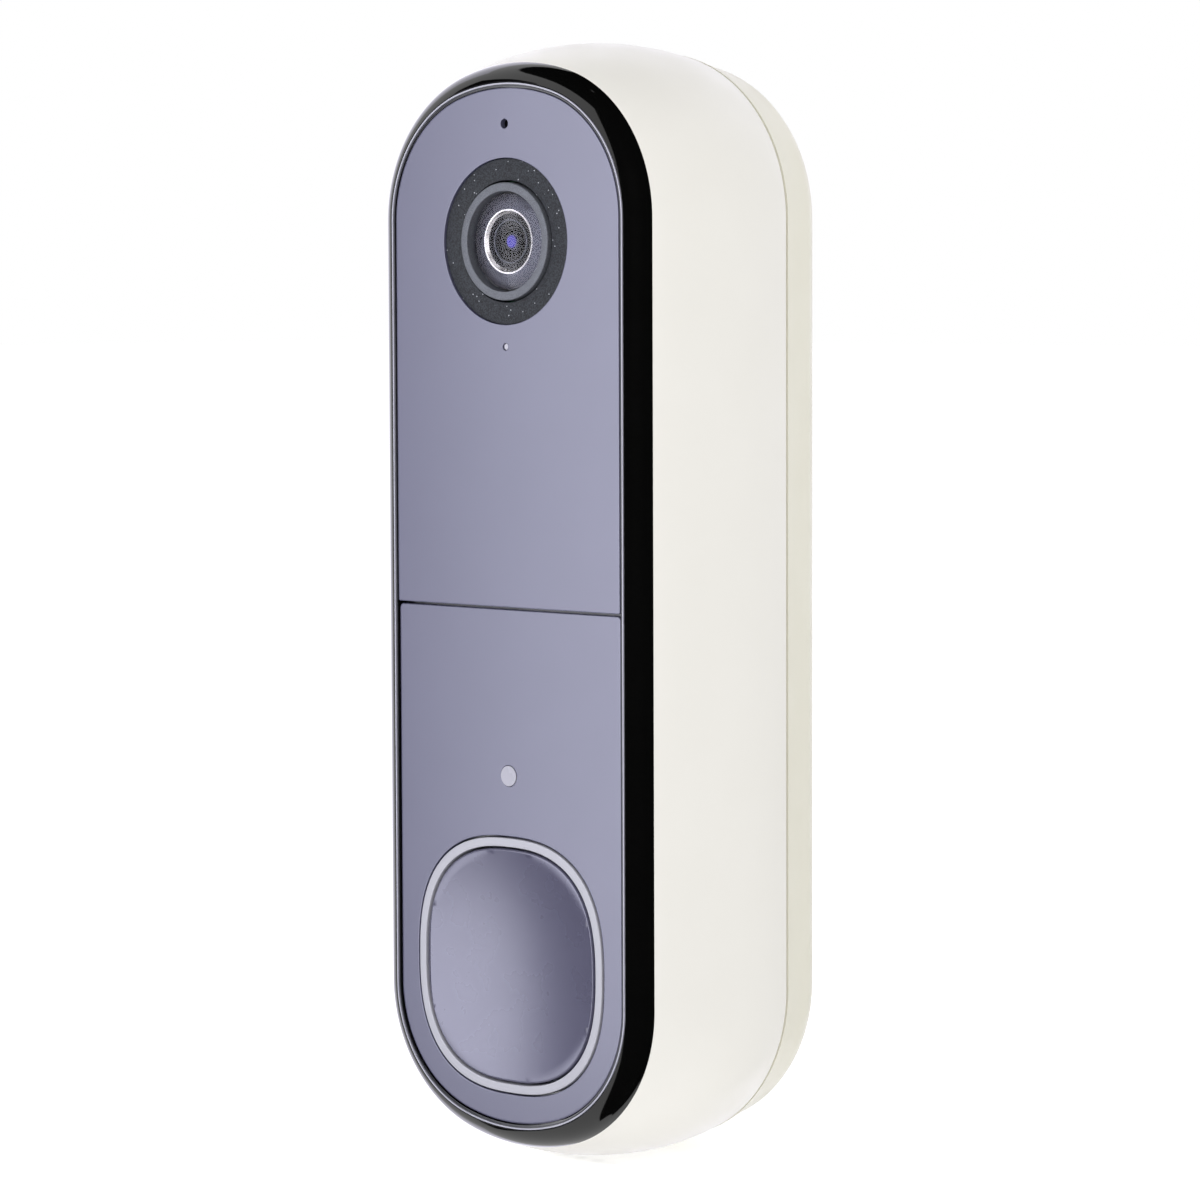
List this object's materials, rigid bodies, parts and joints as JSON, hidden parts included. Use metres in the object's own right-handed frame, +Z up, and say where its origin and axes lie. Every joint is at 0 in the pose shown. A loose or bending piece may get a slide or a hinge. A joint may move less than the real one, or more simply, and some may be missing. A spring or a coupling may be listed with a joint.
{
  "type": "video doorbell",
  "caption": "Slim upright video doorbell with a camera, motion sensor and rounded-square call button in a white case that hooks onto a slotted wall plate.",
  "frame": {"origin": "centre of the wall plate's back, in the wall plane, midway between the wall-screw slots", "axes": "+Z up along the doorbell's length, +Y into the wall so the camera looks along -Y, +X right seen from the front"},
  "size_m": [0.0502, 0.0354, 0.1436],
  "materials": {
    "white_shell": "satin off-white ABS and polycarbonate",
    "white_plate": "satin off-white ABS, slightly yellowed",
    "black_gloss": "polished black polycarbonate",
    "grey_panel": "satin grey-lavender front panel",
    "grey_button": "satin grey-lavender dished cap",
    "dark_texture": "finely textured dark infrared-clear polycarbonate",
    "lens_grey": "fine bead-blasted grey",
    "lens_black": "black lens mask",
    "lens_glass": "coated optical glass",
    "filter_glass": "infrared filter glass",
    "light_ring": "translucent light guide",
    "clear_pin": "milky clear polycarbonate",
    "black_plastic": "black glass-filled nylon",
    "chassis_grey": "dark grey moulded chassis",
    "circuit_board": "green solder mask",
    "chip_black": "moulded chip package",
    "steel": "plated steel",
    "tin_plate": "tinned steel shield",
    "brass_gold": "gold-plated copper alloy",
    "rubber_seal": "black silicone rubber",
    "dome_rubber": "translucent silicone",
    "amber_flex": "polyimide ribbon",
    "cell_wrap": "blue heat-shrink sleeve over a metal can",
    "led_white": "chip light packages",
    "paper_cone": "speaker diaphragm"
  },
  "bodies": {
    "wall_plate": {"wall_plate": "white_plate", "latch_clip": "steel", "latch_screw": "steel"},
    "doorbell_unit": {"housing": "white_shell", "front_bezel": "black_gloss", "upper_panel": "grey_panel", "lower_panel": "grey_panel", "rear_chassis": "chassis_grey", "chassis_seal": "rubber_seal", "chassis_screws": "steel", "lens_surround": "dark_texture", "lens_ring": "lens_grey", "lens_barrel": "black_plastic", "front_lens": "lens_glass", "lens_mask": "lens_black", "inner_lens_front": "lens_glass", "inner_lens_rear": "lens_glass", "camera_holder": "black_plastic", "image_sensor": "chip_black", "camera_board": "circuit_board", "camera_screws": "steel", "camera_flex": "amber_flex", "ir_board": "circuit_board", "ir_leds": "led_white", "mic_gasket": "rubber_seal", "microphone": "tin_plate", "light_pipe": "clear_pin", "light_sensor": "chip_black", "motion_window": "clear_pin", "motion_sensor": "tin_plate", "button_light_ring": "light_ring", "button_switch": "black_plastic", "button_dome": "dome_rubber", "button_board": "circuit_board", "button_leds": "led_white", "main_board": "circuit_board", "board_screws": "steel", "processor": "chip_black", "shield_cans": "tin_plate", "wifi_antenna": "tin_plate", "battery_springs": "brass_gold", "terminal_block": "black_plastic", "terminal_screws": "steel", "sync_switch": "chip_black", "speaker_basket": "black_plastic", "speaker_magnet": "steel", "speaker_cone": "paper_cone", "speaker_gasket": "rubber_seal"},
    "call_button": {"button_cap": "grey_button", "switch_plunger": "black_plastic"},
    "sync_button": {"sync_button": "black_plastic"},
    "ir_filter": {"filter_shuttle": "black_plastic", "filter_glasses": "filter_glass"},
    "battery_pack": {"battery_case": "black_plastic", "battery_lid": "chassis_grey", "battery_cells": "cell_wrap", "battery_board": "circuit_board", "battery_pads": "brass_gold", "battery_latch": "black_plastic", "usb_port": "steel"}
  },
  "joints": [
    {"name": "unit_swing", "type": "hinge", "parent": "wall_plate", "child": "doorbell_unit", "pos_m": [0, -0.0091, 0.0711], "axis": [-1, 0, 0], "range_deg": [0, 25], "deforming": ["latch_clip"]},
    {"name": "call_button_press", "type": "slide", "parent": "doorbell_unit", "child": "call_button", "axis": [0, 1, 0], "range_m": [0, 0.0007], "stiffness_N_per_m": 1500, "springref_m": -0.0004, "deforming": ["button_dome"]},
    {"name": "sync_button_press", "type": "slide", "parent": "doorbell_unit", "child": "sync_button", "axis": [0, -1, 0], "range_m": [0, 0.0005], "stiffness_N_per_m": 1000, "springref_m": -0.0004},
    {"name": "ir_filter_shift", "type": "slide", "parent": "doorbell_unit", "child": "ir_filter", "axis": [1, 0, 0], "range_m": [0, 0.0055]},
    {"name": "battery_slide", "type": "slide", "parent": "doorbell_unit", "child": "battery_pack", "axis": [0, 1, 0], "range_m": [0, 0.02], "deforming": ["battery_latch"]}
  ]
}
